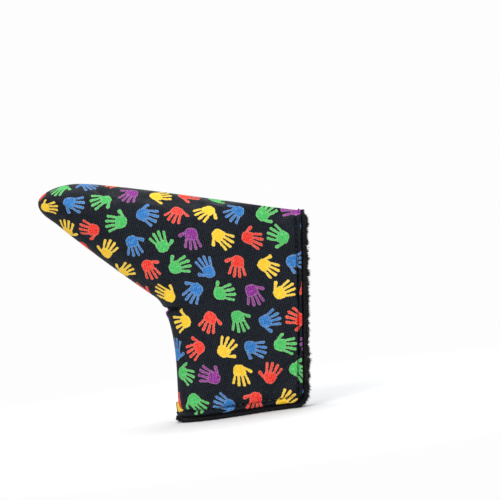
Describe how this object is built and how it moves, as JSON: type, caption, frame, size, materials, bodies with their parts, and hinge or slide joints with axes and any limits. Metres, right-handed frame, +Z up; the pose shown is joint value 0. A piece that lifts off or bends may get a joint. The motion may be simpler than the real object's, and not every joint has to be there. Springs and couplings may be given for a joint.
{
  "type": "putter head cover",
  "caption": "Padded cover for a blade putter's head: printed faux leather outside, plush inside, sewn at the toe, open along the heel edge and neck, held shut by hidden magnets.",
  "frame": {"origin": "middle of the neck's rim between the two panels, at the lowest edge of the plush", "axes": "+Z up along the putter's shaft toward the head, -X toward the toe, +X toward the heel edge, -Y out of the front panel"},
  "size_m": [0.1606, 0.0404, 0.152],
  "materials": {
    "faux_leather": "embossed coated cloth, printed, low sheen",
    "foam": "open-cell padding",
    "plush": "short soft pile",
    "thread": "polyester sewing thread",
    "magnet": "nickel-plated disc"
  },
  "bodies": {
    "cover": {"front_skin": "faux_leather", "back_skin": "faux_leather", "front_foam": "foam", "back_foam": "foam", "front_lining": "plush", "back_lining": "plush", "seam_thread": "thread", "front_rim_thread": "thread", "back_rim_thread": "thread"},
    "front_flap": {"front_flap_skin": "faux_leather", "front_flap_foam": "foam", "front_flap_lining": "plush", "front_hem_thread": "thread", "front_magnets": "magnet"},
    "back_flap": {"back_flap_skin": "faux_leather", "back_flap_foam": "foam", "back_flap_lining": "plush", "back_hem_thread": "thread", "back_magnets": "magnet"}
  },
  "joints": [
    {"name": "front_fold", "type": "hinge", "parent": "cover", "child": "front_flap", "pos_m": [0.04988, -0.0079, 0.10906], "axis": [-0.5162, -0.0776, -0.853], "range_deg": [0, 50], "stiffness_Nm_per_rad": 0.04, "springref_deg": -20.05},
    {"name": "back_fold", "type": "hinge", "parent": "cover", "child": "back_flap", "pos_m": [0.04988, 0.0079, 0.10906], "axis": [0.5162, -0.0776, 0.853], "range_deg": [0, 50], "stiffness_Nm_per_rad": 0.04, "springref_deg": -20.05}
  ]
}
